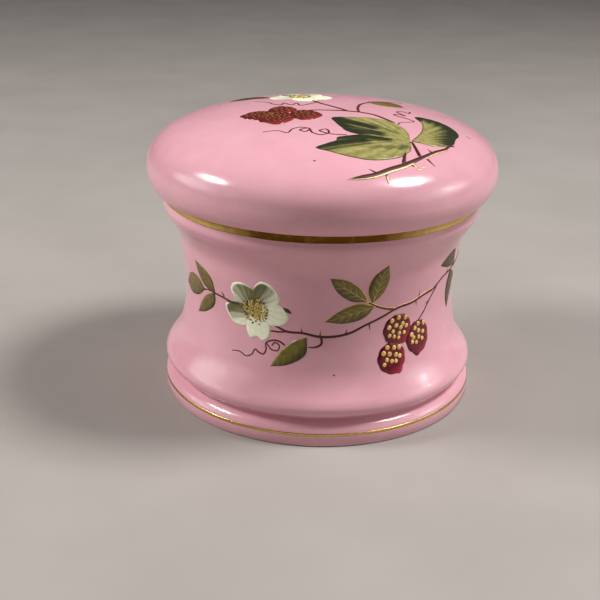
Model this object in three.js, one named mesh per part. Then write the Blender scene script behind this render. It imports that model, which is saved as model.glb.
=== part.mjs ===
// A round porcelain powder jar: a waisted pot on a low foot, and a loose domed lid that
// a flange centres in the pot's mouth. Two bands of fired gilding lie in the pot's wall,
// one in the cove under the rim and a thin one round the foot.
// Millimetres, +Z up. The origin is the centre of the ring that the foot stands on.

import * as THREE from "three";

// Heights above the surface that the jar stands on
const FLOOR_TOP = 7.4;
const UNDERSIDE = 3.5;
const GROOVE_HEIGHT = 8.1;
const BULGE_HEIGHT = 12.4;
const WAIST_HEIGHT = 35.2;
const BEAD_HEIGHT = 65.3;
const GILT_BOTTOM = 67.25;
const GILT_TOP = 69.875;
const SEAM = 70.25;
const LID_EQUATOR = 76.7;
const LID_TOP = 95;

// Radii
const FOOT = 53.3;
const GROOVE = 49.5;
const BULGE = 52.95;
const WAIST = 45.5;
const BEAD = 52.8;
const GILT_COVE = 52.3;
const RIM = 53;
const MOUTH = 48.6;
const LID_SEAT = 54.5;
const LID = 57.75;
const FLANGE = 47.2;

// Walls and small features
const WAIST_WALL = 3.8;
const LID_WALL = 4.2;
const FLANGE_WALL = 3.4;
const FLANGE_DEPTH = 4.75;
const FOOT_RING_WIDTH = 3.6;
const EDGE = 0.8;
const FOOT_EDGE = 0.35;
const GILT_DEPTH = 0.3;
const FOOT_LINE_HEIGHT = 3.75;
const FOOT_LINE_WIDTH = 0.6;

// The lid's outline is a quarter of a superellipse above its equator and another below
const DOME_POWER = 2.54;
const UNDERCUT_POWER = 1.65;

// How finely the round shapes are cut
const SIDES = 48;
const DOME_STEPS = 9;
const UNDERCUT_STEPS = 5;
const CURVE_STEPS = 2;

const at = (radius, height) => new THREE.Vector2(radius, height);

// Points of a quarter superellipse from angle 0, at the equator, to 90 degrees
function quarter(radiusFrom, radiusTo, heightFrom, heightTo, power, steps) {
  const points = [];
  for (let i = 0; i <= steps; i += 1) {
    const angle = (i / steps) * (Math.PI / 2);
    const inward = 1 - Math.max(Math.cos(angle), 0) ** (2 / power);
    const along = Math.sin(angle) ** (2 / power);
    points.push(at(
      THREE.MathUtils.lerp(radiusFrom, radiusTo, inward),
      THREE.MathUtils.lerp(heightFrom, heightTo, along),
    ));
  }
  return points;
}

// A smooth outline through a few points, with a fixed number of steps between each two
function smooth(points) {
  return new THREE.SplineCurve(points).getPoints((points.length - 1) * CURVE_STEPS);
}

// A solid of revolution about +Z. The outline starts and ends on the axis, or closes on
// itself, and runs outwards below, up the outside and back in above.
function turned(name, outline, material) {
  const geometry = new THREE.LatheGeometry(outline, SIDES);
  geometry.rotateX(Math.PI / 2);
  const mesh = new THREE.Mesh(geometry, material);
  mesh.name = name;
  return mesh;
}

// The face of the gilded cove under the rim, from its lower edge up
const COVE_FACE = [
  at(GILT_COVE + 0.1, GILT_BOTTOM),
  at(GILT_COVE, (GILT_BOTTOM * 2 + GILT_TOP) / 3),
  at(RIM - 0.1, GILT_TOP),
];

// The face of the gilded line round the foot
const FOOT_LINE_FACE = [
  at(FOOT - 0.1, FOOT_LINE_HEIGHT - FOOT_LINE_WIDTH / 2),
  at(FOOT - 0.15, FOOT_LINE_HEIGHT + FOOT_LINE_WIDTH / 2),
];

// The bottom of the shallow channel that a gilded face lies in
function channel(face) {
  return face.map((point) => at(point.x - GILT_DEPTH, point.y));
}

const roseGlaze = new THREE.MeshStandardMaterial({
  color: 0xe3a0b4,
  roughness: 0.15,
  metalness: 0,
});

const gilding = new THREE.MeshStandardMaterial({
  color: 0xb08a34,
  roughness: 0.3,
  metalness: 1,
});

// The pot's outside, from the foot's resting ring to the rim
function outsideOfPot() {
  const foot = [
    at(FOOT - FOOT_EDGE, 0),
    at(FOOT, FOOT_EDGE),
    FOOT_LINE_FACE[0],
    ...channel(FOOT_LINE_FACE),
    FOOT_LINE_FACE[1],
  ];
  const footTop = smooth([
    at(FOOT - 0.35, 4.9),
    at(FOOT - 1.3, 6.2),
    at(GROOVE, GROOVE_HEIGHT),
    at(BULGE - 0.7, 10.1),
    at(BULGE, BULGE_HEIGHT),
    at(BULGE - 0.75, 14.2),
  ]);
  const flare = smooth([
    at(50.9, 16),
    at(49.6, 17.9),
    at(48, 21),
    at(46.3, 27.5),
    at(WAIST, WAIST_HEIGHT),
    at(45.9, 42.5),
    at(46.8, 49.5),
    at(47.6, 55),
    at(49.7, 59.4),
    at(51.8, 62.6),
    at(BEAD, BEAD_HEIGHT),
  ]);
  return [...foot, ...footTop, ...flare, COVE_FACE[0], ...channel(COVE_FACE), COVE_FACE[2]];
}

// The pot's inside, from the rim down to the floor's edge
function insideOfPot() {
  const wall = [
    at(MOUTH - 0.2, 63),
    at(46.4, 59.5),
    at(43.6, 54.5),
    at(42.2, 46),
    at(WAIST - WAIST_WALL, WAIST_HEIGHT),
    at(42.4, 26),
    at(44.2, 19.5),
    at(45.8, 15.5),
    at(46, 12.5),
    at(43.6, 9),
  ];
  return [at(MOUTH + EDGE, SEAM), at(MOUTH, SEAM - EDGE), ...wall, at(40, FLOOR_TOP)];
}

function jarBody() {
  const innerEdge = FOOT - FOOT_EDGE - FOOT_RING_WIDTH;
  return turned("jar_body", [
    at(0, UNDERSIDE),
    at(innerEdge - 2, UNDERSIDE),
    at(innerEdge - EDGE, EDGE),
    at(innerEdge, 0),
    ...outsideOfPot(),
    at(RIM, SEAM),
    ...insideOfPot(),
    at(0, FLOOR_TOP),
  ], roseGlaze);
}

// A gilded ring that fills its channel in the pot's wall
function gilded(name, face) {
  const back = channel(face).reverse();
  return turned(name, [...face, ...back, face[0]], gilding);
}

// The lid: a hollow dome whose flat seat rests on the pot's rim, with the flange inside
function lid() {
  const flangeEnd = SEAM - FLANGE_DEPTH;
  const flangeInside = FLANGE - FLANGE_WALL;
  const hollow = quarter(
    LID - LID_WALL - 2, 0, LID_EQUATOR, LID_TOP - LID_WALL, DOME_POWER, DOME_STEPS,
  ).reverse();
  const lower = quarter(
    LID, LID_SEAT, LID_EQUATOR, SEAM, UNDERCUT_POWER, UNDERCUT_STEPS,
  ).reverse();
  const dome = quarter(LID, 0, LID_EQUATOR, LID_TOP, DOME_POWER, DOME_STEPS);
  return turned("lid", [
    ...hollow,
    at(flangeInside + 4, SEAM + LID_WALL - 1),
    at(flangeInside, SEAM + 1.5),
    at(flangeInside, flangeEnd + EDGE),
    at(flangeInside + EDGE, flangeEnd),
    at(FLANGE - EDGE, flangeEnd),
    at(FLANGE, flangeEnd + EDGE),
    at(FLANGE, SEAM),
    ...lower,
    ...dome.slice(1),
  ], roseGlaze);
}

const powderJar = new THREE.Group();
powderJar.add(jarBody());
powderJar.add(gilded("rim_gilt_band", COVE_FACE));
powderJar.add(gilded("foot_gilt_line", FOOT_LINE_FACE));
powderJar.add(lid());

export default powderJar;
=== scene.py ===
import math

import bmesh
import bpy
import numpy as np
from mathutils import Matrix, Vector
from mathutils.geometry import delaunay_2d_cdt


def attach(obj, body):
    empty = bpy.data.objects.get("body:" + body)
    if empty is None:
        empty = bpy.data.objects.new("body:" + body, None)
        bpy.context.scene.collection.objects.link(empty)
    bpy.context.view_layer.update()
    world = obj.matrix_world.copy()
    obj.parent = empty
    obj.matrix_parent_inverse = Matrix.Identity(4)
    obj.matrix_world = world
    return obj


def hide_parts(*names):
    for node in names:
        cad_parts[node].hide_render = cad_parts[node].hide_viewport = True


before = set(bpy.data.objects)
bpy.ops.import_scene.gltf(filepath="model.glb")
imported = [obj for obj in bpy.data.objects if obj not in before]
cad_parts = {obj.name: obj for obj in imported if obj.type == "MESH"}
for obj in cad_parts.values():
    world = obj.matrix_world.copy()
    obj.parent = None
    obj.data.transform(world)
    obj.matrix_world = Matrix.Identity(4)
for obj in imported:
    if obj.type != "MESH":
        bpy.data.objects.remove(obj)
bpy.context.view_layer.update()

# A round porcelain powder jar with a loose domed lid, painted with a bramble spray.
# Lengths are in millimetres until they are written to a mesh, which is in metres. The floor,
# the lights and the camera are placed in metres.

MM = 0.001
SEGMENTS = 288

# ---------------------------------------------------------------- outlines of the two solids

SEAM = 70.25
LID_EQUATOR = 76.7
LID_TOP = 95.0
LID_RADIUS = 57.75
LID_SEAT = 54.5
LID_WALL = 4.2
DOME_POWER = 2.54
UNDERCUT_POWER = 1.65
FLANGE = 47.2
FLANGE_INSIDE = 43.8
FLANGE_END = SEAM - 4.75

FOOT_HOLLOW = [(0, 3.5), (44, 3.5), (47.35, 3.5), (48.55, 0.8)]
FOOT_RING = [(49.35, 0), (51, 0), (52.95, 0)]
FOOT_WALL = [(52.95, 0), (53.3, 0.35), (53.2, 3.45)]
POT_SIDE = [
    (53.2, 3.45), (52.95, 4.9), (52.0, 6.2), (49.5, 8.1), (52.25, 10.1), (52.95, 12.4),
    (52.2, 14.2), (50.9, 16), (49.6, 17.9), (48, 21), (46.3, 27.5), (45.5, 35.2),
    (45.9, 42.5), (46.8, 49.5), (47.6, 55), (49.7, 59.4), (51.8, 62.6), (52.8, 65.3),
    (52.4, 67.25), (52.3, 68.1), (52.9, 69.9),
]
RIM_TOP = [(52.6, SEAM), (51, SEAM), (49.4, SEAM)]
RIM_INSIDE = [(49.4, SEAM), (48.75, 69.9), (48.6, 69.4)]
POT_INSIDE = [
    (48.6, 69.4), (48.4, 63), (46.4, 59.5), (43.6, 54.5), (42.2, 46), (41.7, 35.2),
    (42.4, 26), (44.2, 19.5), (45.8, 15.5), (46, 12.5), (43.6, 9), (40, 7.4),
]
POT_FLOOR = [(30, 7.4), (0, 7.4)]

# Heights of the lower and upper edges of the gilt bands
RIM_BAND = (67.25, 69.85)
FOOT_BAND = (3.5, 4.45)

# What lies on the porcelain
ROSE_GLAZED = 1.0
WHITE_GLAZED = 0.0
UNGLAZED = -1.0


def curve(points, step=0.5):
    """Points about a step apart along a smooth curve through the given ones."""
    points = [np.array(p, float) for p in points]
    ends = [2 * points[0] - points[1], *points, 2 * points[-1] - points[-2]]
    made = []
    for before, start, end, after in zip(ends, ends[1:], ends[2:], ends[3:]):
        first, middle, last = (np.linalg.norm(b - a) for a, b in
                               ((before, start), (start, end), (end, after)))
        slope_out = (start - before) / first * middle + (end - start) / middle * first
        slope_out *= middle / (first + middle)
        slope_in = (end - start) / middle * last + (after - end) / last * middle
        slope_in *= middle / (middle + last)
        for t in np.arange(0, 1, 1 / max(2, math.ceil(middle / step))):
            made.append((2 * t**3 - 3 * t**2 + 1) * start + (t**3 - 2 * t**2 + t) * slope_out
                        + (3 * t**2 - 2 * t**3) * end + (t**3 - t**2) * slope_in)
    made.append(points[-1])
    return np.array(made)


def quarter(radius_from, radius_to, height_from, height_to, power, steps):
    """A quarter of a superellipse, from its equator to the point over or under it."""
    angles = np.linspace(0, math.pi / 2, steps + 1)
    inward = 1 - np.clip(np.cos(angles), 0, 1) ** (2 / power)
    along = np.sin(angles) ** (2 / power)
    return np.stack([radius_from + (radius_to - radius_from) * inward,
                     height_from + (height_to - height_from) * along], -1)


POT_SIDE_LINE = curve(POT_SIDE)
DOME_LINE = quarter(LID_RADIUS, 0, LID_EQUATOR, LID_TOP, DOME_POWER, 90)


def add_object(name, mesh):
    mesh.update()
    made = bpy.data.objects.new(name, mesh)
    bpy.context.scene.collection.objects.link(made)
    return made


def revolve(name, stretches):
    """A closed solid of revolution. Each stretch is its points and what lies on them."""
    line, cover = [], []
    for points, value in stretches:
        for point in points:
            if line and np.allclose(line[-1], point, atol=1e-4):
                continue
            line.append(np.array(point, float))
            cover.append(value)
    angles = np.arange(SEGMENTS) * 2 * math.pi / SEGMENTS
    ring = np.stack([np.sin(angles), -np.cos(angles)], -1)
    verts, values, starts = [], [], []
    for (radius, height), value in zip(line, cover):
        starts.append(len(verts))
        if radius < 1e-6:
            verts.append((0, 0, height * MM))
            values.append(value)
        else:
            verts.extend((x * radius * MM, y * radius * MM, height * MM) for x, y in ring)
            values.extend([value] * SEGMENTS)
    faces = []
    for i in range(len(line) - 1):
        low, high = starts[i], starts[i + 1]
        for j in range(SEGMENTS):
            k = (j + 1) % SEGMENTS
            if line[i][0] < 1e-6:
                faces.append((low, high + k, high + j))
            elif line[i + 1][0] < 1e-6:
                faces.append((low + j, low + k, high))
            else:
                faces.append((low + j, low + k, high + k, high + j))
    mesh = bpy.data.meshes.new(name)
    mesh.from_pydata(verts, [], faces)
    mesh.attributes.new("cover", "FLOAT", "POINT").data.foreach_set("value", values)
    mesh.shade_smooth()
    return add_object(name, mesh)


# ---------------------------------------------------------------- where paint lies on them

DEGREE = 0.82  # about how many millimetres one degree of the pot's side is across
SLOPE_STEP = 0.3  # how far apart the two points are that give a surface's slope


def on_pot(paper, lift):
    """Places for points of (degrees from the front * DEGREE, height), lifted off the glaze."""
    angle = np.radians(paper[:, 0] / DEGREE)
    height = paper[:, 1]
    radius = np.interp(height, POT_SIDE_LINE[:, 1], POT_SIDE_LINE[:, 0])
    above = np.interp(height + SLOPE_STEP, POT_SIDE_LINE[:, 1], POT_SIDE_LINE[:, 0])
    lean = (above - radius) / SLOPE_STEP
    size = np.hypot(1, lean)
    out = radius + lift / size
    return np.stack([out * np.sin(angle), -out * np.cos(angle), height - lift * lean / size], -1)


def on_lid(paper, lift):
    """Places for points of (x, y), lifted off the dome."""
    radius = np.hypot(paper[:, 0], paper[:, 1])
    height = np.interp(radius, DOME_LINE[::-1, 0], DOME_LINE[::-1, 1])
    beyond = np.interp(radius + SLOPE_STEP, DOME_LINE[::-1, 0], DOME_LINE[::-1, 1])
    fall = (height - beyond) / SLOPE_STEP
    size = np.hypot(1, fall)
    grow = 1 + lift * fall / size / np.maximum(radius, 1e-6)
    return np.stack([paper[:, 0] * grow, paper[:, 1] * grow, height + lift / size], -1)


# ---------------------------------------------------------------- materials


def colour(red, green, blue):
    """A linear colour from the 0 to 255 numbers of a painter's swatch."""
    def linear(value):
        value /= 255
        return value / 12.92 if value <= 0.04045 else ((value + 0.055) / 1.055) ** 2.4
    return (linear(red), linear(green), linear(blue), 1.0)


class Nodes:
    """Short ways to build a procedural material, for the record's slot of this name."""

    def __init__(self, name):
        self.material = bpy.data.materials.new(name)
        self.material["slot"] = name
        self.material.use_nodes = True
        self.tree = self.material.node_tree
        self.shader = self.tree.nodes["Principled BSDF"]

    def set(self, **values):
        for key, value in values.items():
            self.shader.inputs[key.replace("_", " ")].default_value = value

    def add(self, kind, **values):
        node = self.tree.nodes.new(kind)
        for key, value in values.items():
            setattr(node, key, value)
        return node

    def plug(self, socket, value):
        """Sets a socket to a constant, or links it to an output."""
        if isinstance(value, (int, float, tuple)):
            socket.default_value = value
        else:
            self.tree.links.new(value, socket)

    def noise(self, size, detail, roughness=0.5):
        """Noise whose blotches are about this many millimetres across."""
        node = self.add("ShaderNodeTexNoise")
        node.inputs["Scale"].default_value = 1 / (size * MM)
        node.inputs["Detail"].default_value = detail
        node.inputs["Roughness"].default_value = roughness
        self.plug(node.inputs["Vector"], self.add("ShaderNodeTexCoord").outputs["Object"])
        return node.outputs["Fac"]

    def ramp(self, value, low, high, low_to=0.0, high_to=1.0):
        node = self.add("ShaderNodeMapRange", interpolation_type="SMOOTHSTEP")
        self.plug(node.inputs["Value"], value)
        names = ("From Min", "From Max", "To Min", "To Max")
        for name, number in zip(names, (low, high, low_to, high_to)):
            node.inputs[name].default_value = number
        return node.outputs["Result"]

    def math(self, operation, first, second):
        node = self.add("ShaderNodeMath", operation=operation)
        self.plug(node.inputs[0], first)
        self.plug(node.inputs[1], second)
        return node.outputs[0]

    def mix(self, factor, first, second, blend="MIX"):
        node = self.add("ShaderNodeMix", data_type="RGBA", blend_type=blend)
        self.plug(node.inputs[0], factor)
        self.plug(node.inputs[6], first)
        self.plug(node.inputs[7], second)
        return node.outputs[2]

    def attribute(self, name, output="Color"):
        return self.add("ShaderNodeAttribute", attribute_name=name).outputs[output]

    def specks(self, spacing, radius, share):
        """1 in small round specks, of which there is one in this share of the cells."""
        cell = self.add("ShaderNodeTexVoronoi")
        cell.inputs["Scale"].default_value = 1 / (spacing * MM)
        self.plug(cell.inputs["Vector"], self.add("ShaderNodeTexCoord").outputs["Object"])
        parts = self.add("ShaderNodeSeparateColor")
        self.plug(parts.inputs[0], cell.outputs["Color"])
        chosen = self.ramp(parts.outputs[0], 1 - share, 1.01 - share)
        near = self.ramp(cell.outputs["Distance"], radius / spacing * 0.6, radius / spacing, 1, 0)
        return self.math("MULTIPLY", chosen, near)

    def bump(self, height, strength, distance):
        node = self.add("ShaderNodeBump")
        node.inputs["Strength"].default_value = strength
        node.inputs["Distance"].default_value = distance * MM
        self.plug(node.inputs["Height"], height)
        self.plug(self.shader.inputs["Normal"], node.outputs["Normal"])


ROSE = colour(228, 169, 180)
ROSE_DEEP = colour(223, 161, 175)
ROSE_PALE = colour(232, 176, 185)
WHITE_GLAZE = colour(240, 236, 228)
BISCUIT = colour(212, 200, 184)
SPECK = colour(140, 80, 84)
# Painted shade and painted sheen of the gilding: the dark colour of the rim band's front and back,
# and the bright colour of its sides and of the foot line
GILT_PAINTED_SHADE = colour(96, 64, 16)
GILT_PAINTED_SHEEN = colour(222, 186, 108)
GOLD_DULLED = colour(222, 204, 168)
FLOOR_DARK = colour(162, 156, 150)
FLOOR_PALE = colour(168, 162, 156)


def glaze_material():
    """Cloudy, specked rose glaze, white glaze or bare porcelain, by what the mesh says."""
    n = Nodes("rose_glaze")
    cover = n.attribute("cover", "Fac")
    edge = n.math("ADD", cover, n.ramp(n.noise(3, 2), 0.3, 0.7, -0.12, 0.12))
    cloudy = n.mix(n.ramp(n.noise(16, 3, 0.6), 0.3, 0.7), ROSE_DEEP, ROSE_PALE)
    dusted = n.mix(n.ramp(n.noise(1.2, 3, 0.7), 0.35, 0.65, 0.2, 0.8), cloudy, ROSE)
    specked = n.mix(n.specks(8, 0.22, 0.12), dusted, SPECK)
    glazed = n.mix(n.ramp(edge, 0.35, 0.65), WHITE_GLAZE, specked)
    bare = n.ramp(cover, -0.7, -0.3, 1.0, 0.0)
    n.plug(n.shader.inputs["Base Color"], n.mix(bare, glazed, BISCUIT))
    sheen = n.ramp(n.noise(5, 2), 0.3, 0.7, 0.15, 0.21)
    n.plug(n.shader.inputs["Roughness"], n.math("MAXIMUM", sheen, n.math("MULTIPLY", bare, 0.6)))
    n.bump(n.noise(6, 2, 0.4), 0.05, 0.3)
    n.set(IOR=1.5)
    return n.material


def enamel_material(name, brush, depth, dullness):
    """Glossy paint. Its tint is painted on the mesh, and brush marks deepen it in places."""
    n = Nodes(name)
    tint = n.attribute("paint")
    deeper = n.mix(1.0, tint, colour(*depth), "MULTIPLY")
    marks = n.ramp(n.noise(brush, 4, 0.65), 0.4, 0.7, 0.0, 0.6)
    n.plug(n.shader.inputs["Base Color"], n.mix(marks, tint, deeper))
    sheen = n.ramp(n.noise(2, 2), 0.3, 0.7, dullness - 0.06, dullness + 0.06)
    n.plug(n.shader.inputs["Roughness"], sheen)
    n.bump(n.noise(brush * 0.6, 2), 0.2, 0.08)
    return n.material


def gilding_material():
    """Thin fired gold, cloudy, with painted reflection: on the rim it is painted dark brown at the
    front and the back and bright at the sides, and on the foot it is painted bright all round.
    """
    n = Nodes("gilding")
    place = n.add("ShaderNodeSeparateXYZ")
    n.plug(place.inputs[0], n.add("ShaderNodeTexCoord").outputs["Object"])
    # Painted reflection: the rim band is darker at the front and the back and brighter at the sides,
    # and the foot line is painted bright
    painted_sheen_at_sides = n.ramp(n.math("ABSOLUTE", place.outputs["X"], 0.0), 15 * MM, 40 * MM)
    painted_sheen_on_foot = n.ramp(place.outputs["Z"], 10 * MM, 30 * MM, 0.85, 0.0)
    cloudy = n.ramp(n.noise(3, 3, 0.5), 0.25, 0.75, -0.1, 0.1)
    bright = n.math("ADD", n.math("MAXIMUM", painted_sheen_at_sides, painted_sheen_on_foot), cloudy)
    n.plug(n.shader.inputs["Base Color"], n.mix(bright, GILT_PAINTED_SHADE, GILT_PAINTED_SHEEN))
    n.plug(n.shader.inputs["Roughness"], n.ramp(n.noise(1.5, 3), 0.3, 0.7, 0.18, 0.28))
    n.bump(n.noise(0.8, 2), 0.1, 0.05)
    n.set(Metallic=1.0)
    return n.material


def raised_gold_material():
    """Gold over raised paste: soft and matt. Its tint is painted on the mesh."""
    n = Nodes("raised_gold")
    tint = n.attribute("paint")
    duller = n.mix(1.0, tint, GOLD_DULLED, "MULTIPLY")
    n.plug(n.shader.inputs["Base Color"], n.mix(n.ramp(n.noise(0.9, 3), 0.3, 0.7), duller, tint))
    n.plug(n.shader.inputs["Roughness"], n.ramp(n.noise(0.7, 3), 0.3, 0.7, 0.36, 0.5))
    n.bump(n.noise(0.4, 2), 0.2, 0.05)
    n.set(Metallic=0.35)
    return n.material


# ---------------------------------------------------------------- the two porcelain solids


def make_pot():
    return revolve("jar_porcelain", [
        (FOOT_HOLLOW, WHITE_GLAZED),
        (FOOT_RING, UNGLAZED),
        (FOOT_WALL, ROSE_GLAZED),
        (POT_SIDE_LINE, ROSE_GLAZED),
        (RIM_TOP, UNGLAZED),
        (RIM_INSIDE, WHITE_GLAZED),
        (curve(POT_INSIDE), WHITE_GLAZED),
        (POT_FLOOR, WHITE_GLAZED),
    ])


def make_lid():
    inner = LID_RADIUS - LID_WALL - 2
    hollow = quarter(inner, 0, LID_EQUATOR, LID_TOP - LID_WALL, DOME_POWER, 60)[::-1]
    under = quarter(LID_RADIUS, LID_SEAT, LID_EQUATOR, SEAM, UNDERCUT_POWER, 24)[::-1]
    shoulder = [
        (inner, LID_EQUATOR), (50.6, 74.5), (47.8, 73.4), (44.8, 72.7), (FLANGE_INSIDE, 71.4),
    ]
    return revolve("lid_porcelain", [
        (hollow, WHITE_GLAZED),
        (curve(shoulder), WHITE_GLAZED),
        ([(FLANGE_INSIDE, FLANGE_END + 0.8), (44.05, FLANGE_END + 0.2)], WHITE_GLAZED),
        ([(44.6, FLANGE_END), (46.4, FLANGE_END), (46.95, FLANGE_END + 0.2)], UNGLAZED),
        ([(FLANGE, FLANGE_END + 0.8), (FLANGE, SEAM - 0.2), (FLANGE + 0.2, SEAM)], UNGLAZED),
        ([(54, SEAM)], UNGLAZED),
        (under, ROSE_GLAZED),
        (DOME_LINE, ROSE_GLAZED),
    ])


GILT_PROUD = 0.05  # how far a gilt band stands out of the glaze
GILT_SUNK = 0.08  # how far its back lies under the glaze


def make_gilding(name, low, high, waver):
    """A thin band of gold laid on the pot by hand: its lower edge wavers a little."""
    steps = 8
    angles = np.arange(SEGMENTS) * 2 * math.pi / SEGMENTS
    wobble = waver * (np.sin(3 * angles + 1) + 0.6 * np.sin(11 * angles) + 0.4 * np.sin(29 * angles))
    share = np.linspace(0, 1, steps + 1)
    heights = low + wobble[:, None] + (high - low - wobble[:, None]) * share
    heights = np.concatenate([heights, heights[:, ::-1]], 1)
    lifts = np.array([0.0] + [GILT_PROUD] * (steps - 1) + [0.0] + [-GILT_SUNK] * (steps + 1))
    around = len(lifts)
    paper = np.stack([np.repeat(np.degrees(angles) * DEGREE, around), heights.ravel()], -1)
    places = on_pot(paper, np.tile(lifts, SEGMENTS))
    faces = []
    for j in range(SEGMENTS):
        k = (j + 1) % SEGMENTS
        for i in range(around):
            m = (i + 1) % around
            faces.append((j * around + i, k * around + i, k * around + m, j * around + m))
    mesh = bpy.data.meshes.new(name)
    mesh.from_pydata((places * MM).tolist(), [], faces)
    mesh.shade_smooth()
    return add_object(name, mesh)


# ---------------------------------------------------------------- painting

SUNK = 0.06  # how far the backs of shapes and dots lie under the glaze
LINE_SUNK = 0.05  # how far the edges of lines do
SHAPE_EDGE = 0.03  # how high the outline of a shape stands
LEAF_HEIGHT = 0.18
VEIN_WIDTH = 0.2
VEIN_BASE = 0.22
DOT_SIDES = 8
BEAD_SIDES = 12


def paint(red, green, blue):
    """The same as colour, as an array that can be blended."""
    return np.array(colour(red, green, blue)[:3])


def blended(first, second, share):
    """Colours from first to second, one for each share between 0 and 1."""
    share = np.clip(share, 0, 1)
    return first + (second - first) * (share * share * (3 - 2 * share))[:, None]


def distance_to(points, path):
    """How far each point is from a polyline."""
    start, along = path[:-1], path[1:] - path[:-1]
    offset = points[:, None] - start
    share = (offset * along).sum(-1) / np.maximum((along**2).sum(-1), 1e-12)
    return np.linalg.norm(offset - np.clip(share, 0, 1)[..., None] * along, axis=-1).min(1)


def inside(points, outline):
    """Which points are inside a closed outline."""
    x, y = points[:, 0:1], points[:, 1:2]
    x0, y0 = outline[:, 0], outline[:, 1]
    x1, y1 = np.roll(x0, -1), np.roll(y0, -1)
    crosses = (y0 > y) != (y1 > y)
    reach = x0 + (y - y0) * (x1 - x0) / np.where(y1 == y0, 1e-12, y1 - y0)
    return (crosses & (x < reach)).sum(1) % 2 == 1


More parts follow.
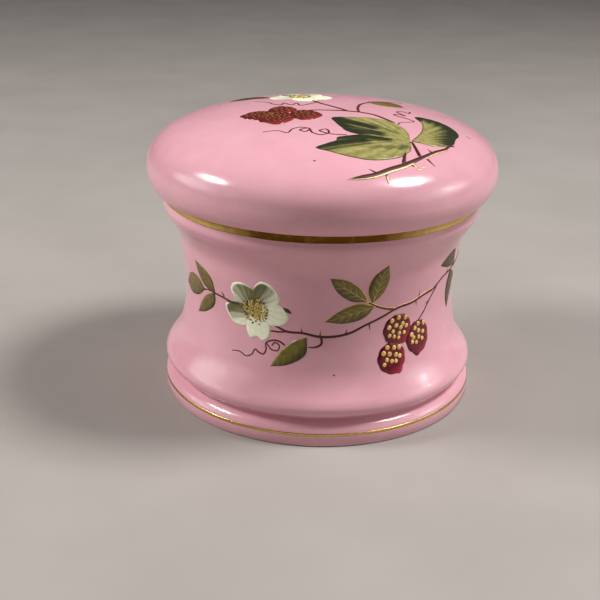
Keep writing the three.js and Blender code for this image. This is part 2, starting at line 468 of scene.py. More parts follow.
class Painting:
    """Raised enamel or gold on the porcelain: many small closed bodies in one mesh. It is
    drawn on flat paper, in millimetres, that skin lays on the porcelain. unit is how many
    millimetres of paper the points' own units are."""

    def __init__(self, name, skin, unit=(1, 1)):
        self.name = name
        self.skin = skin
        self.unit = np.array(unit, float)
        self.verts, self.tints, self.faces = [], [], []
        self.count = 0

    def paper(self, points):
        return np.atleast_2d(np.array(points, float)) * self.unit

    def add(self, paper, lift, tint, faces):
        self.verts.append(self.skin(paper, lift))
        self.tints.append(np.broadcast_to(tint, (len(paper), 3)))
        self.faces.extend([self.count + i for i in face] for face in faces)
        self.count += len(paper)

    def line(self, points, widths, tint, height, base=0.0):
        """A raised line with round ends through the points, on a base of this height.
        widths is its width, or several that are spread evenly along it."""
        path = curve(self.paper(points), 0.35)
        steps = np.linalg.norm(np.diff(path, axis=0), axis=1)
        run = np.concatenate([[0], np.cumsum(steps)])
        widths = np.atleast_1d(widths)
        half = np.interp(run / run[-1], np.linspace(0, 1, len(widths)), widths) / 2
        to_end = np.minimum(run, run[-1] - run)
        half *= np.sqrt(1 - (1 - np.clip(to_end / half, 0.06, 1)) ** 2)
        along = np.gradient(path, axis=0)
        along /= np.linalg.norm(along, axis=1)[:, None]
        side = np.stack([-along[:, 1], along[:, 0]], -1)
        section = [(-1, 0), (-0.85, 0.6), (-0.4, 0.95), (0.4, 0.95), (0.85, 0.6), (1, 0)]
        thick = height * np.clip(half / (0.5 * widths.max()), 0.3, 1)
        rows = [path + side * (half * across)[:, None] for across, _ in section]
        lifts = [-LINE_SUNK + (base + LINE_SUNK + thick) * rise for _, rise in section]
        n, m = len(path), len(section)
        paper = np.stack(rows, 1).reshape(-1, 2)
        lift = np.stack(lifts, 1).reshape(-1)
        faces = [(i * m + j, i * m + m + j, i * m + m + (j + 1) % m, i * m + (j + 1) % m)
                 for i in range(n - 1) for j in range(m)]
        faces.append(list(range(m)))
        faces.append(list(range((n - 1) * m, n * m))[::-1])
        self.add(paper, lift, tint, faces)

    def dot(self, centre, radius, tint, height, base, sides=DOT_SIDES):
        """A small round bead of paint, on a base of this height."""
        angles = np.arange(sides) * 2 * math.pi / sides
        ring = np.stack([np.cos(angles), np.sin(angles)], -1)
        centre = self.paper(centre)[0]
        rings = [(0.95, -SUNK), (1.0, base + height * 0.3), (0.8, base + height * 0.75),
                 (0.4, base + height * 0.97)]
        paper = np.concatenate([centre + ring * radius * size for size, _ in rings])
        lift = np.repeat([rise for _, rise in rings], sides)
        faces = [(r * sides + i, r * sides + (i + 1) % sides, (r + 1) * sides + (i + 1) % sides,
                  (r + 1) * sides + i) for r in range(len(rings) - 1) for i in range(sides)]
        faces.append(list(range(sides))[::-1])
        faces.append(list(range((len(rings) - 1) * sides, len(rings) * sides)))
        self.add(paper, lift, tint, faces)

    def shape(self, outline, tint, height, edge=0.8, step=0.6):
        """A raised closed shape whose outline is in paper millimetres and rounded over this
        edge. tint is a colour, or a function that gives colours for points and their distances
        from the outline."""
        low, high = outline.min(0), outline.max(0)
        across = np.arange(low[0], high[0], step)
        up = np.arange(low[1], high[1], step * 0.87)
        grid = np.array([(x + (j % 2) * step / 2, y) for j, y in enumerate(up) for x in across])
        loop = np.concatenate([outline, outline[:1]])
        keep = inside(grid, outline) & (distance_to(grid, loop) > step * 0.45)
        points = np.concatenate([outline, grid[keep]])
        cut = delaunay_2d_cdt([Vector(p) for p in points], [], [list(range(len(outline)))], 1, 1e-5)
        points, faces = np.array([tuple(v) for v in cut[0]]), [tuple(f) for f in cut[2]]
        depth = distance_to(points, loop)
        rise = SHAPE_EDGE + height * np.sqrt(1 - (1 - np.clip(depth / edge, 0, 1)) ** 2)
        tints = tint(points, depth) if callable(tint) else tint
        n = len(points)
        sides = {(a, b) for f in faces for a, b in zip(f, f[1:] + f[:1])}
        walls = [(b, a, a + n, b + n) for a, b in sides if (b, a) not in sides]
        backs = [tuple(i + n for i in f[::-1]) for f in faces]
        lift = np.concatenate([rise, np.full(n, -SUNK)])
        tints = np.broadcast_to(tints, (n, 3))
        self.add(np.concatenate([points, points]), lift, np.concatenate([tints, tints]),
                 faces + walls + backs)

    def finish(self, material, body):
        """Makes the mesh, with its tints stored on its points, and lets it ride on a body."""
        mesh = bpy.data.meshes.new(self.name)
        mesh.from_pydata((np.concatenate(self.verts) * MM).tolist(), [], self.faces)
        tints = np.concatenate(self.tints)
        tints = np.concatenate([tints, np.ones((len(tints), 1))], 1)
        stored = mesh.attributes.new("paint", "FLOAT_COLOR", "POINT")
        stored.data.foreach_set("color", tints.ravel())
        shells = bmesh.new()
        shells.from_mesh(mesh)
        bmesh.ops.recalc_face_normals(shells, faces=shells.faces)
        shells.to_mesh(mesh)
        shells.free()
        mesh.shade_smooth()
        mesh.materials.append(material)
        made = add_object(self.name, mesh)
        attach(made, body)


def join_sides(base, left, tip, right):
    """A closed outline that runs up one side of a leaf and down the other."""
    up = curve([base, *left, tip])
    down = curve([tip, *right[::-1], base])
    return np.concatenate([up[:-1], down[:-1]])


def leaf_tint(base, tip, light, dark):
    """Leaf colours: darker to one side of the midrib, with faint slanting side veins."""
    axis = tip - base
    length = np.linalg.norm(axis)
    axis = axis / length

    def tint(points, depth):
        along = (points - base) @ axis / length
        across = (points - base) @ np.array([-axis[1], axis[0]])
        ribs = np.sin((along * 6 - np.abs(across) * 0.35) * 2 * math.pi)
        return blended(light, dark, 0.35 + 0.16 * across + 0.14 * ribs - 0.12 * depth)
    return tint


def leaf(painting, base, left, tip, right, light, dark):
    base, tip = painting.paper(base)[0], painting.paper(tip)[0]
    outline = join_sides(base, painting.paper(left), tip, painting.paper(right))
    painting.shape(outline, leaf_tint(base, tip, light, dark), LEAF_HEIGHT)


def veins(painting, base, tip, spread, tint, pairs):
    """A leaf's midrib, and pairs of side veins that lean towards its tip."""
    base, tip = np.array(base, float), np.array(tip, float)
    middle, end = base + (tip - base) * 0.5, base + (tip - base) * 0.9
    midrib = (VEIN_WIDTH * 1.2, VEIN_WIDTH * 0.6)
    painting.line([base, middle, end], midrib, tint, 0.05, VEIN_BASE)
    tapered = (VEIN_WIDTH, VEIN_WIDTH * 0.5)
    unit = painting.unit
    axis = (tip - base) * unit
    normal = np.array([-axis[1], axis[0]]) / np.linalg.norm(axis)
    for i in range(pairs):
        root = base + (tip - base) * (0.16 + 0.62 * i / pairs)
        reach = spread * math.sin(math.pi * (0.28 + 0.5 * i / pairs))
        for turn in (-1, 1):
            end = root + ((tip - base) * 0.15 * unit + normal * turn * reach) / unit
            painting.line([root, (root + end) / 2, end], tapered, tint, 0.04, VEIN_BASE)


# ---------------------------------------------------------------- the spray on the pot
# Points on the pot are (degrees from the front towards the right, height in millimetres).

POT_UNIT = (DEGREE, 1.0)

OLIVE = paint(124, 108, 52)
OLIVE_DARK = paint(86, 70, 28)
MOSS = paint(124, 112, 38)
MOSS_DARK = paint(62, 54, 16)
BARK = paint(98, 38, 24)
BARK_DARK = paint(76, 26, 12)
VINE = paint(104, 38, 32)
PETAL = paint(252, 254, 226)
PETAL_SHADE = paint(98, 94, 46)
CRIMSON = paint(174, 30, 58)
CRIMSON_DARK = paint(104, 4, 28)
STAMEN = paint(206, 178, 84)
STAMEN_GREEN = paint(156, 142, 72)
STAMEN_DARK = paint(84, 50, 22)
GOLD = paint(250, 220, 138)
GOLD_DARK = paint(146, 102, 52)

# Every leaf: base, left side, tip, right side
SIDE_TRIO = [
    ((-45.5, 43), [(-52.5, 43.5), (-56, 46.5)], (-58, 51), [(-46.5, 46.8), (-51.5, 50)]),
    ((-52.5, 42), [(-56.5, 45), (-64, 45)], (-73, 39.5), [(-58, 38.8), (-68, 37.6)]),
    ((-45.5, 42.8), [(-52, 40.2), (-57, 36)], (-59, 32.5), [(-46, 39), (-52.5, 34.4)]),
]
MIDDLE_TRIO = [
    ((19.5, 45.5), [(15.5, 50.8), (10, 53.8)], (4, 54.5), [(12.5, 46.4), (7, 49.8)]),
    ((21, 44.8), [(18.8, 49.5), (20.5, 54)], (25.5, 58.2), [(25, 48), (27.3, 53)]),
    ((22.5, 44), [(15.5, 45.3), (9, 43.4)], (2.5, 39.5), [(19.5, 41), (10.5, 38.8)]),
]
LONE_LEAF = ((-4, 34), [(-8.5, 32.8), (-14, 29)], (-18, 23.5), [(-4.2, 28.8), (-11, 24.8)])
RIGHT_LEAVES = [
    ((70, 48.6), [(61.5, 49.8), (58, 50.8)], (55, 51.8), [(68, 54.6), (59.5, 54)]),
    ((66, 48), [(65, 42.4), (66.5, 37)], (69, 33.2), [(74, 44), (73.5, 39.5)]),
]
BACK_LEAVES = [
    ((86, 50.5), [(90, 53.5), (95, 55.5)], (101, 56), [(92, 50.5), (98, 52.5)]),
    ((86, 50), [(92, 49), (98, 46.5)], (103, 43.5), [(89, 46.5), (95, 44)]),
]

MAIN_STEM = [
    (-18.5, 37.6), (-15.5, 36.5), (-12, 35.5), (-6, 35.4), (1, 34.4), (7, 34.5), (13, 35.5),
    (18.5, 37.5), (25, 39.5), (33, 42), (40, 42.6), (46.5, 44), (52, 44.6), (58.5, 47), (67, 48),
    (76, 49.2), (87, 50.4),
]
BERRY_STEM = [(55, 45.4), (50.5, 41), (47.5, 37.5), (44.5, 35.2)]
SIDE_TWIG = [(-36, 41.6), (-41, 42.3), (-45, 42.6), (-50, 42.6), (-53.5, 42)]
TRIO_STALK = [(32, 41.6), (27, 42.5), (23, 43.8), (19.5, 45.4)]
LEAF_STALK = [(1.5, 34.4), (1.6, 32), (-0.5, 31), (-3.4, 30.8)]
SEPALS = [((-13.5, 43.4), (-10.2, 41.8)), ((-38.6, 41.4), (-31, 42))]
POT_SPECK = (6.7, 22.2)
THORNS = [
    ((-6, 35.4), (-6.3, 37)), ((1, 34.4), (1.2, 36.3)), ((11, 35.2), (11.6, 36.8)),
    ((20.5, 38), (21, 35.6)), ((29, 41), (30, 42.8)), ((42, 42.8), (42.6, 40.8)),
    ((43.5, 43.2), (43.3, 46)), ((62, 47.5), (62.5, 49.5)),
]
TENDRIL = [
    (-35.5, 25.6), (-31.5, 26), (-28.5, 25.2), (-26, 26.2), (-24.8, 28), (-23, 27.2),
    (-21.2, 27), (-20.2, 28.6), (-20.4, 30.6), (-18.5, 31.7), (-15, 31.9), (-12.5, 30.8),
]
LOOP = [(-20, 30.6), (-18, 28.9), (-15.4, 28.9), (-14.8, 30.4), (-16.8, 31.3), (-18, 30)]

BLOSSOM = (-25, 41)
# Every petal: its outline, how grey it is, how much greyer its left side is as seen from the
# heart, and how high it lies
PETALS = [
    ([(-26, 40), (-32.5, 42.2), (-34.6, 44), (-36, 46.4), (-34.8, 48.6), (-31.5, 49.6),
      (-28, 49.2), (-25.6, 48.2), (-24, 44)], 0.7, -0.3, 0.1),
    ([(-26, 41.5), (-26.2, 45.5), (-25.2, 48.8), (-21.8, 51.4), (-18.4, 50.8), (-15.6, 48.6),
      (-14.8, 45.6), (-16.6, 43.2), (-21, 40.5)], 0.62, 0.6, 0.13),
    ([(-25, 43), (-31.5, 42.8), (-36.5, 42), (-39.6, 40.2), (-38.6, 37.4), (-35.5, 35),
      (-31.5, 34.6), (-28, 35.6), (-25, 38.5)], 0.66, -0.8, 0.13),
    ([(-23, 42.4), (-19, 43.8), (-15.4, 44.2), (-12.2, 42.2), (-11.4, 39.6), (-13.6, 37.4),
      (-17.4, 36.6), (-21, 36.8), (-24, 39)], 0.12, 0.1, 0.15),
    ([(-26.5, 40.5), (-29, 36.6), (-28.8, 33.2), (-26.8, 31.3), (-24.2, 32.2), (-21.8, 31.2),
      (-19.4, 32.4), (-18.6, 35.4), (-20, 38.6), (-23.5, 41)], 0.06, 0.0, 0.17),
]

# Every berry: centre, half width, half height, direction of its pointed end in degrees
POT_BERRIES = [
    ((33.5, 34.5), 5.5, 5.1, 300),
    ((44.2, 29.9), 5.3, 5.5, 262),
    ((30.5, 25.5), 5.2, 5.0, 296),
]
# Beads on each berry, in millimetres from its centre
BERRY_BEADS = [
    [(0, 4), (2.7, 3.5), (-2.5, 3.3), (1.8, 1.6), (-0.8, 1.5), (3.3, 0.6), (-3.5, 1.2), (1, 0.4),
     (-2, -0.4), (0.5, -1.4), (2.5, -1.6), (-3.3, -1.6), (-1.5, -2.2), (0.2, -2.8)],
    [(0, 4.4), (2.6, 4), (-1.5, 3.2), (0.2, 2), (2.3, 1.2), (-3, 1.4), (-2.2, 0.2),
     (0.2, -0.1), (1.8, -1), (-2.8, -1.2), (-1, -1.6)],
    [(-1.7, 3.6), (0.8, 3.2), (2.8, 3), (-3.1, 1.9), (-1, 1.4), (1.4, 0.8), (2.8, 0.2),
     (-2.1, -0.3), (-0.3, -1), (1.2, -1.2), (-3.1, -1.7)],
]


def berry(enamel, gold, centre, half_width, half_height, point, beads, bead_size, tones):
    """A bramble: a lumpy shape from dark to light, with beads of gold for its drupelets."""
    dark, light, bead_tint = tones
    middle = enamel.paper(centre)[0]
    angles = np.radians(np.arange(0, 360, 5))
    gap = (np.degrees(angles) - point + 180) % 360 - 180
    lumps = 0.98 + 0.045 * np.abs(np.sin(4.5 * angles)) + 0.12 * np.exp(-(gap / 16) ** 2)
    ring = np.stack([np.cos(angles) * half_width, np.sin(angles) * half_height], -1)
    outline = middle + ring * lumps[:, None]

    def tint(points, depth):
        east = (points - middle) @ np.array([0.75, -0.66]) / half_width
        return blended(dark, light, 0.15 + 0.8 * east - 0.16 * depth)

    enamel.shape(outline, tint, 0.4, 1.8, 0.55)
    for bead in beads:
        place = (middle + np.array(bead)) / enamel.unit
        size = bead_size * (1 - 0.05 * abs(bead[1] - 2))
        gold.dot(place, size, bead_tint, 0.2, 0.34, BEAD_SIDES)


def petal_tint(heart, outline, shade, lean):
    """White at the rim and greyer inwards, with fine streaks that run out from the heart."""
    length = np.linalg.norm(outline - heart, axis=1).max()
    axis = outline.mean(0) - heart
    across = np.array([-axis[1], axis[0]]) / np.linalg.norm(axis)

    def tint(points, depth):
        offset = points - heart
        reach = np.linalg.norm(offset, axis=1) / length
        bearing = np.arctan2(*offset.T)
        streaks = np.sin(bearing * 23 + 2 * np.sin(reach * 6)) + 0.7 * np.sin(bearing * 61)
        inward = np.clip(depth / 0.6 + (0.78 - reach) * 4, 0, 1)
        grey = shade + lean * 2.4 * (offset @ across) / length + 0.09 * streaks
        return blended(PETAL, PETAL_SHADE, grey * inward + 0.5 * np.clip(0.55 - reach, 0, 1))
    return tint


OUTER_DOTS = 24
OUTER_TURN = 0.262  # radians from one outer dot to the next
STAMENS = 70
STAMEN_TURN = 2.4  # radians from one stamen to the next, which spreads them evenly


def blossom(enamel, gold, centre, petals, spread):
    """A bramble flower: five petals on a grey disc, round a green heart with a crown of
    stamens and a ring of dark dots. Every fifth stamen has a gold filament."""
    heart = enamel.paper(centre)[0]
    turn = np.radians(np.arange(0, 360, 10))
    ring = np.stack([np.cos(turn), np.sin(turn)], -1)
    grey = blended(PETAL, PETAL_SHADE, np.array([0.6]))[0]
    enamel.shape(heart + ring * 5.4 * spread, grey, 0.04)
    for points, shade, lean, height in petals:
        outline = curve(enamel.paper([*points, points[0]]))[:-1]
        enamel.shape(outline, petal_tint(heart, outline, shade, lean), height, 0.7, 0.45)
    enamel.shape(heart + ring * 3.3 * spread, STAMEN_GREEN, 0.19, 1.4)
    for i in range(OUTER_DOTS):
        reach = (4.2 + 0.5 * math.sin(i * 2.7)) * spread
        angle = i * OUTER_TURN
        place = heart + np.array([math.cos(angle), math.sin(angle)]) * reach
        enamel.dot(place / enamel.unit, 0.26 * spread, STAMEN_DARK, 0.14, 0.2)
    for i in range(STAMENS):
        reach = (0.4 + 3.9 * math.sqrt((i * 0.755) % 1)) * spread
        angle = i * STAMEN_TURN
        place = heart + np.array([math.cos(angle) * 1.05, math.sin(angle)]) * reach
        dark = i % 3 == 1
        tone = STAMEN_DARK if dark else STAMEN
        enamel.dot(place / enamel.unit, (0.26 if dark else 0.36) * spread, tone, 0.14, 0.2)
        if i % 5 == 0:
            root = heart + (place - heart) * 0.4
            filament = np.array([root, (root + place) / 2, place]) / enamel.unit
            gold.line(filament, 0.24, GOLD, 0.1, 0.22)


def paint_pot(leaf_enamel, stem_enamel, berry_enamel, blossom_enamel, raised_gold):
    leaves = Painting("jar_leaves", on_pot, POT_UNIT)
    stems = Painting("jar_stems", on_pot, POT_UNIT)
    berries = Painting("jar_berries", on_pot, POT_UNIT)
    flower = Painting("jar_blossom", on_pot, POT_UNIT)
    gold = Painting("jar_raised_gold", on_pot, POT_UNIT)

    for base, left, tip, right in SIDE_TRIO:
        leaf(leaves, base, left, tip, right, OLIVE, OLIVE_DARK)
        veins(stems, base, tip, 1.6, OLIVE_DARK, 3)
    for base, left, tip, right in MIDDLE_TRIO:
        leaf(leaves, base, left, tip, right, MOSS, MOSS_DARK)
        veins(gold, base, tip, 2.0, GOLD, 4)
        gold.line([base, *left, tip], (0.26, 0.22, 0.1), GOLD, 0.1, 0.03)
        gold.line([base, *right[:1]], (0.26, 0.1), GOLD, 0.1, 0.03)
    leaf(leaves, *LONE_LEAF, MOSS, MOSS_DARK)
    for base, left, tip, right in RIGHT_LEAVES + BACK_LEAVES:
        leaf(leaves, base, left, tip, right, OLIVE_DARK, MOSS_DARK)

    stems.line(SIDE_TWIG, (0.9, 0.8, 0.45), BARK, 0.16)
    stems.line([(-40, 42.6), (-41.5, 44.2)], (0.7, 0.3), BARK, 0.16)
    stems.line(MAIN_STEM, (0.7, 0.9, 0.8, 0.9, 0.8, 0.7), BARK_DARK, 0.16)
    stems.line([(-19, 35), (-15.5, 35), (-12, 35.5)], 0.6, BARK, 0.14)
    stems.line(BERRY_STEM, (0.7, 0.55), BARK_DARK, 0.14)
    stems.line([(50.5, 41), (48.4, 40.2)], (0.8, 0.3), BARK, 0.14)
    stems.line(TRIO_STALK, (0.7, 0.5), BARK, 0.14)
    stems.line(LEAF_STALK, (0.9, 0.8, 0.4), BARK_DARK, 0.14)
    for root, tip in THORNS:
        stems.line([root, tip], (0.7, 0.12), BARK, 0.12)
    stems.line(TENDRIL, (0.4, 0.6, 0.7), VINE, 0.1)
    stems.line(LOOP, 0.5, VINE, 0.1)
    stems.dot(POT_SPECK, 0.3, BARK, 0.02, 0.02)
    gold.line([(x, y + 0.5) for x, y in MAIN_STEM[8:13]], 0.16, GOLD, 0.1, 0.02)
    gold.line([(x, y + 0.45) for x, y in TRIO_STALK], 0.2, GOLD, 0.12, 0.02)

    for (centre, width, height, point), beads in zip(POT_BERRIES, BERRY_BEADS):
        tones = CRIMSON_DARK, CRIMSON, GOLD
        berry(berries, gold, centre, width, height, point, beads, 0.88, tones)
    blossom(flower, gold, BLOSSOM, PETALS, 1.0)
    for start, tip in SEPALS:
        stems.line([start, tip], (0.4, 1.5, 0.5), MOSS_DARK, 0.1, 0.12)

    leaves.finish(leaf_enamel, "jar")
    stems.finish(stem_enamel, "jar")
    berries.finish(berry_enamel, "jar")
    flower.finish(blossom_enamel, "jar")
    gold.finish(raised_gold, "jar")


# ---------------------------------------------------------------- the spray on the lid
# Points on the lid are (right, back) from its middle, in millimetres.

SAGE = paint(150, 144, 84)
SAGE_PALE = paint(174, 166, 104)
PINE = paint(32, 42, 24)
RUST = paint(148, 52, 46)
RUST_DARK = paint(104, 30, 26)
CREAM = paint(250, 232, 176)

UPPER_LOBE = [
    (26.5, -27.5), (26.3, -21), (24.2, -15.4), (21, -11.4), (16, -9), (9.3, -9.1), (2.7, -10.8),
    (3.8, -16), (5.6, -21), (7.6, -25), (11.2, -26.9), (19, -27.7),
]
LOWER_LOBE = [
    (26.5, -27.5), (19, -27.6), (11.5, -26.8), (7.5, -28.4), (4.2, -30.6), (4.2, -32), (1.6, -34.6),
    (-2, -38), (3, -40.4), (8, -42.3), (14, -43), (19, -41.5), (23.5, -38.5), (26.3, -34),
]
RIGHT_LEAF = [
    (27, -27.5), (30.4, -19), (31.6, -10), (30, -1.4), (35.5, -1.8), (40.2, -5), (43, -12.2),
    (41.4, -17.6), (40.4, -22), (33.6, -27.8),
]
# Dark strokes over the sage leaves, each with how far its colour reaches and how strong it is
UPPER_STROKES = [
    ([(2.7, -11), (5, -17), (7.6, -23.5), (11, -26)], 6.0, 1),
    ([(3, -12), (9, -16.5), (15, -19.5)], 3.6, 1), ([(9, -23), (17, -25)], 3.0, 1),
    ([(16, -18.4), (19, -20.4)], 1.5, 0.5), ([(20, -21), (22.5, -22.6)], 1.4, 0.5),
]
LOWER_STROKES = [
    ([(-2, -38), (5, -34.5), (12, -31.4)], 3.9, 1),
    ([(3.6, -31), (8, -29.6), (15, -28.8), (19, -28.6)], 3.2, 1),
    ([(14.6, -36), (17.2, -34.6)], 1.3, 0.5), ([(18.8, -35.2), (21.2, -33.8)], 1.4, 0.55),
    ([(23, -34), (24.8, -32.4)], 1.6, 0.7),
]
RIGHT_STROKES = [
    ([(30, -1.5), (35, -3), (39.4, -6.4), (41.6, -12), (41, -17.6), (40, -22)], 6.6, 1),
]
SAGE_ROOT = (27, -27.5)

LID_STEM = [
    (7.5, -52), (11, -50.6), (15.5, -48.8), (19.5, -46), (23.5, -43), (26.5, -40), (30, -36),
    (34, -31), (37.5, -27), (38.8, -24.5), (40.5, -23),
]
LID_THORNS = [
    ((16.5, -48.6), (13.5, -47.2)), ((33, -32.4), (31.5, -30.6)), ((18.5, -47.5), (19, -50.6)),
    ((31, -36.5), (33.5, -39)), ((26, -41.5), (28.8, -42.4)),
]
UPPER_STEM = [
    (-7, -2.6), (-3, -1.2), (2, -0.9), (7.7, -1.2), (12, -2.2), (16.3, -4.7), (20.2, -9.5),
    (22.4, -12.5),
]
UPPER_STEM_TWO = [(-4.7, 16), (-1, 9.5), (3.4, 4.4), (7.7, -0.8)]
BRANCH = [(11.6, -1.6), (11.2, 2), (11.4, 5.5), (12.3, 10), (15.5, 14.8), (20, 18), (27, 21)]
SMALL_LEAF = ((14.5, 15.5), [(17.5, 11.5), (22, 9.8)], (27, 10.2), [(20, 18.5), (25.5, 15.5)])
CURL = [
    (23.5, -14), (24.2, -11.5), (27, -9.6), (29, -8), (27.5, -6), (24.5, -4), (22.8, -2),
    (24.5, -1), (26.5, -2.2), (25, 0.5), (24, 2.5), (26, 3.8), (27.8, 2.2), (28.6, 5),
]
LEFT_TENDRIL = [
    (-18.5, -25.6), (-13.5, -25), (-10.8, -27), (-9.3, -23.6), (-7, -22), (-4, -23.6), (-5.5, -26),
    (-7, -24.6), (-4.6, -22.8), (-3, -27), (-0.5, -28.6), (1.8, -26.6), (0.8, -23.4),
    (-1, -24.8), (1.5, -27.2), (7.5, -28),
]
BACK_TENDRIL = [
    (-23.5, 14), (-18.5, 11), (-16.5, 7.6), (-14.3, 6.2), (-13.2, 9), (-10.6, 6.2), (-9, 9),
    (-7.6, 5.4), (-4, 9), (-1.5, 12),
]
LID_BERRIES = [
    ((-13.2, -1.6), 4.6, 4.6, 100),
    ((-6, -8), 5.2, 6.2, 0),
    ((-20, -8.2), 5.8, 5.2, 180),
    ((-15, -11.4), 5.8, 7, 280),
]
LID_BLOSSOM = (-8, 21)
LID_PETALS = [
    ([(-8, 20), (-12, 17.5), (-16, 17), (-18.5, 19.5), (-17.5, 22.5), (-14, 24), (-9, 23)],
     0.3, 0.2, 0.1),
    ([(-9.5, 21), (-11, 17), (-9, 13.8), (-6, 13), (-3, 14), (-2, 17), (-5, 21)],
     0.15, 0.2, 0.16),
    ([(-7, 19), (-3, 16.6), (1, 17), (2.8, 20), (1.6, 23), (-2, 24), (-7, 22.5)],
     0.15, 0.1, 0.13),
    ([(-8.5, 20.5), (-3.5, 22.5), (-0.5, 26), (-2.5, 29), (-6, 29.6), (-8, 27), (-9.5, 23)],
     0.5, 0.3, 0.1),
    ([(-7, 20.5), (-7, 25), (-9, 29), (-12.5, 29.4), (-15.5, 27), (-14.5, 24), (-10, 21)],
     0.6, 0.3, 0.12),
]
FAR_LEAF = ((-18, 20), [(-22, 25), (-27, 26)], (-33, 21), [(-23, 20.5), (-28.5, 20)])
LID_SPECKS = [(46, -10), (46.6, -10.6), (-2.2, -45.3)]


def stroke_tint(strokes, root, light, pale, dark):
    """Sage leaf colours with feathered dark strokes, and faint rays from the leaf's root."""
    paths = [(curve(path), reach, strength) for path, reach, strength in strokes]

    def tint(points, depth):
        bearing = np.arctan2(points[:, 1] - root[1], points[:, 0] - root[0])
        feather = 0.25 * np.sin(bearing * 46) + 0.15 * np.sin(bearing * 97)
        shade = np.zeros(len(points))
        for path, reach, strength in paths:
            stroke = 1.5 * (1.25 - distance_to(points, path) / reach) + feather - 0.3
            shade = np.maximum(shade, strength * np.clip(stroke, 0, 0.96))
        tints = blended(light, pale, 0.5 + 0.5 * np.sin(bearing * 31) - 0.3 * (depth < 0.7))
        return tints + (dark - tints) * shade[:, None]
    return tint


def scattered_beads(half_width, half_height, spacing):
    """Places for the beads of a berry, in staggered rows inside an ellipse."""
    beads = []
    rows = int(half_height * 1.7 / spacing)
    for j in range(rows):
        y = (j - (rows - 1) / 2) * spacing
        for i in range(-5, 6):
            x = (i + (j % 2) / 2) * spacing + 0.3 * math.sin(j * 2.3 + i)
            if (x / half_width) ** 2 + (y / half_height) ** 2 < 0.62:
                beads.append((x, y + 0.2 * math.sin(i * 1.9 + j)))
    return beads


def paint_lid(leaf_enamel, stem_enamel, berry_enamel, blossom_enamel, raised_gold):
    leaves = Painting("lid_leaves", on_lid)
    stems = Painting("lid_stems", on_lid)
    berries = Painting("lid_berries", on_lid)
    flower = Painting("lid_blossom", on_lid)
    gold = Painting("lid_raised_gold", on_lid)

    for outline, strokes in ((UPPER_LOBE, UPPER_STROKES), (LOWER_LOBE, LOWER_STROKES),
                             (RIGHT_LEAF, RIGHT_STROKES)):
        line = curve([*outline, outline[0]])[:-1]
        tint = stroke_tint(strokes, SAGE_ROOT, SAGE, SAGE_PALE, PINE)
        leaves.shape(line, tint, LEAF_HEIGHT, 0.8, 0.5)
    for edge in (LOWER_LOBE[7:], RIGHT_LEAF[:4], RIGHT_LEAF[9:] + RIGHT_LEAF[:1]):
        stems.line(edge, 0.35, OLIVE_DARK, 0.06, 0.04)
    leaf(leaves, *SMALL_LEAF, OLIVE, OLIVE_DARK)
    leaf(leaves, *FAR_LEAF, OLIVE_DARK, PINE)

    stems.line(LID_STEM, (0.3, 1.2, 1.6, 1.9, 1.8, 1.5, 1.1, 1.0, 0.9, 0.8), BARK_DARK, 0.2)
    stems.line([(26.6, -28), (24.8, -35), (23.8, -42)], (0.4, 0.6, 1.3), BARK_DARK, 0.16, 0.12)
    stems.line([(27, -28), (27.8, -31.5), (29, -36.5)], (0.9, 1.3), BARK_DARK, 0.16, 0.05)
    for start, tip in LID_THORNS:
        stems.line([start, tip], (1.0, 0.25), BARK_DARK, 0.14)
    stems.line(UPPER_STEM, (0.9, 1.2, 1.3), BARK, 0.16)
    stems.line(UPPER_STEM_TWO, 1.2, BARK, 0.14)
    stems.line(BRANCH, (0.9, 1.0, 0.9, 0.5), BARK, 0.14)
    for tendril in (CURL, LEFT_TENDRIL, BACK_TENDRIL):
        stems.line(tendril, (0.5, 0.75, 0.75, 0.7), VINE, 0.1)
    for speck in LID_SPECKS:
        stems.dot(speck, 0.34, BARK, 0.02, 0.02)
    edge = [(x + 0.5, y - 0.62) for x, y in LID_STEM]
    gold.line([LID_STEM[0], *edge[1:6]], (0.3, 0.5, 0.55, 0.5), CREAM, 0.14, 0.12)
    gold.line([(x + 0.1, y) for x, y in edge[6:9]], (0.3, 0.45, 0.3), CREAM, 0.14, 0.1)
    gold.line([(18.8, -48.4), (19.3, -50.8)], (0.6, 0.3), CREAM, 0.14, 0.16)
    gold.line([(26.5, -41.4), (28.8, -42.6), (29.2, -41.4), (31, -41)], (0.6, 0.3), CREAM, 0.14, 0.02)

    for centre, width, height, point in LID_BERRIES:
        beads = scattered_beads(width, height, 1.6)
        tones = RUST_DARK, RUST, GOLD_DARK
        berry(berries, gold, centre, width, height, point, beads, 0.5, tones)
    blossom(flower, gold, LID_BLOSSOM, LID_PETALS, 0.8)

    leaves.finish(leaf_enamel, "lid")
    stems.finish(stem_enamel, "lid")
    berries.finish(berry_enamel, "lid")
    flower.finish(blossom_enamel, "lid")
    gold.finish(raised_gold, "lid")


# ---------------------------------------------------------------- stage, light and camera


def make_stage():
    """A wide pale floor, a tenth of a millimetre under the foot."""
    bpy.ops.mesh.primitive_plane_add(size=16, location=(0, 0, -0.0001))
    floor = bpy.context.object
    floor.name = "floor"
    n = Nodes("floor")
    mottle = n.ramp(n.noise(60, 3), 0.3, 0.7)
    n.plug(n.shader.inputs["Base Color"], n.mix(mottle, FLOOR_DARK, FLOOR_PALE))
    n.set(Roughness=0.7)
    floor.data.materials.append(n.material)


DAYLIGHT = (1.0, 0.98, 0.98)
WARMER_DAYLIGHT = (1.0, 0.98, 0.97)
LIGHTS_AIM = (0, 0, 0.06)


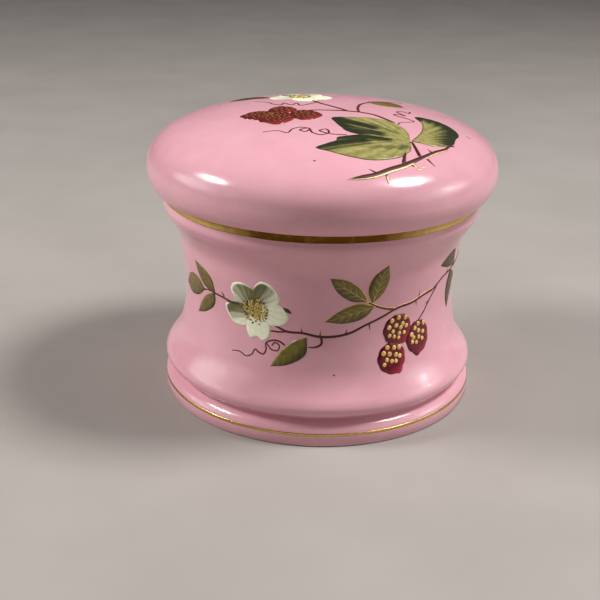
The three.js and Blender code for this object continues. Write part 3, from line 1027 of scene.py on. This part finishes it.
def area_light(name, azimuth, elevation, distance, width, height, power, tint):
    """A soft oval light that faces the jar. Azimuth 0 is the front, 90 the right."""
    a, e = math.radians(azimuth), math.radians(elevation)
    place = Vector((math.sin(a) * math.cos(e), -math.cos(a) * math.cos(e), math.sin(e))) * distance
    lamp = bpy.data.lights.new(name, "AREA")
    lamp.shape = "ELLIPSE"
    lamp.size, lamp.size_y = width, height
    lamp.energy = power
    lamp.color = tint
    made = bpy.data.objects.new(name, lamp)
    made.location = Vector(LIGHTS_AIM) + place
    made.rotation_euler = (-place).to_track_quat("-Z", "Y").to_euler()
    bpy.context.scene.collection.objects.link(made)


def make_room():
    """A dim, even room round the jar."""
    world = bpy.data.worlds.new("room")
    world.use_nodes = True
    background = world.node_tree.nodes["Background"]
    background.inputs["Color"].default_value = (1.0, 0.97, 0.97, 1)
    background.inputs["Strength"].default_value = 0.05
    bpy.context.scene.world = world


def make_lights():
    """A window and a pale wall on either side, each with a card that catches the light, and
    a small lamp low on the right."""
    area_light("left_window", -86, 40, 1.0, 0.32, 0.17, 6.0, WARMER_DAYLIGHT)
    area_light("right_window", 89, 56, 1.0, 0.32, 0.28, 9.4, DAYLIGHT)
    area_light("left_wall", -80, 18, 1.3, 1.4, 0.8, 3.0, DAYLIGHT)
    area_light("right_wall", 80, 18, 1.3, 1.4, 0.8, 2.8, DAYLIGHT)
    area_light("left_card", -88, 17, 1.0, 0.60, 0.34, 1.3, DAYLIGHT)
    area_light("right_card", 88, 17, 1.0, 0.50, 0.34, 0.9, DAYLIGHT)
    area_light("right_lamp", 89, 19, 1.0, 0.09, 0.16, 0.35, WARMER_DAYLIGHT)
    make_room()


CAMERA_PLACE = (0.0, -0.3546, 0.1749)
CAMERA_PITCH = 22.55
CAMERA_YAW = -1.03
CAMERA_ROLL = 1.17
CAMERA_LENS = 66.0


def make_camera():
    pitch, yaw, roll = (math.radians(a) for a in (CAMERA_PITCH, CAMERA_YAW, CAMERA_ROLL))
    forward = Vector((math.sin(yaw) * math.cos(pitch), math.cos(yaw) * math.cos(pitch),
                      -math.sin(pitch)))
    right = Vector((math.cos(yaw), -math.sin(yaw), 0))
    up = right.cross(forward)
    side = right * math.cos(roll) + up * math.sin(roll)
    top = up * math.cos(roll) - right * math.sin(roll)
    lens = bpy.data.cameras.new("camera")
    lens.lens = CAMERA_LENS
    lens.sensor_width = 36
    lens.clip_start = 0.01
    made = bpy.data.objects.new("camera", lens)
    turn = Matrix((side, top, -forward)).transposed().to_4x4()
    made.matrix_world = Matrix.Translation(CAMERA_PLACE) @ turn
    bpy.context.scene.collection.objects.link(made)
    bpy.context.scene.camera = made


# ---------------------------------------------------------------- everything together


def add_solid(piece, material, body, node):
    """Puts a finished piece in the place of the frame's node."""
    piece.data.materials.append(material)
    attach(piece, body)
    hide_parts(node)


make_camera()
make_stage()
make_lights()
bpy.context.scene.view_settings.view_transform = "Standard"

glaze = glaze_material()
gilding = gilding_material()
add_solid(make_pot(), glaze, "jar", "jar_body")
add_solid(make_lid(), glaze, "lid", "lid")
add_solid(make_gilding("rim_gilding", *RIM_BAND, 0.05), gilding, "jar", "rim_gilt_band")
add_solid(make_gilding("foot_gilding", *FOOT_BAND, 0.03), gilding, "jar", "foot_gilt_line")

enamels = (
    enamel_material("leaf_enamel", 1.6, (190, 184, 160), 0.34),
    enamel_material("stem_enamel", 1.2, (200, 180, 170), 0.44),
    enamel_material("berry_enamel", 1.2, (190, 150, 160), 0.24),
    enamel_material("blossom_enamel", 1.8, (240, 242, 228), 0.4),
    raised_gold_material(),
)
paint_pot(*enamels)
paint_lid(*enamels)
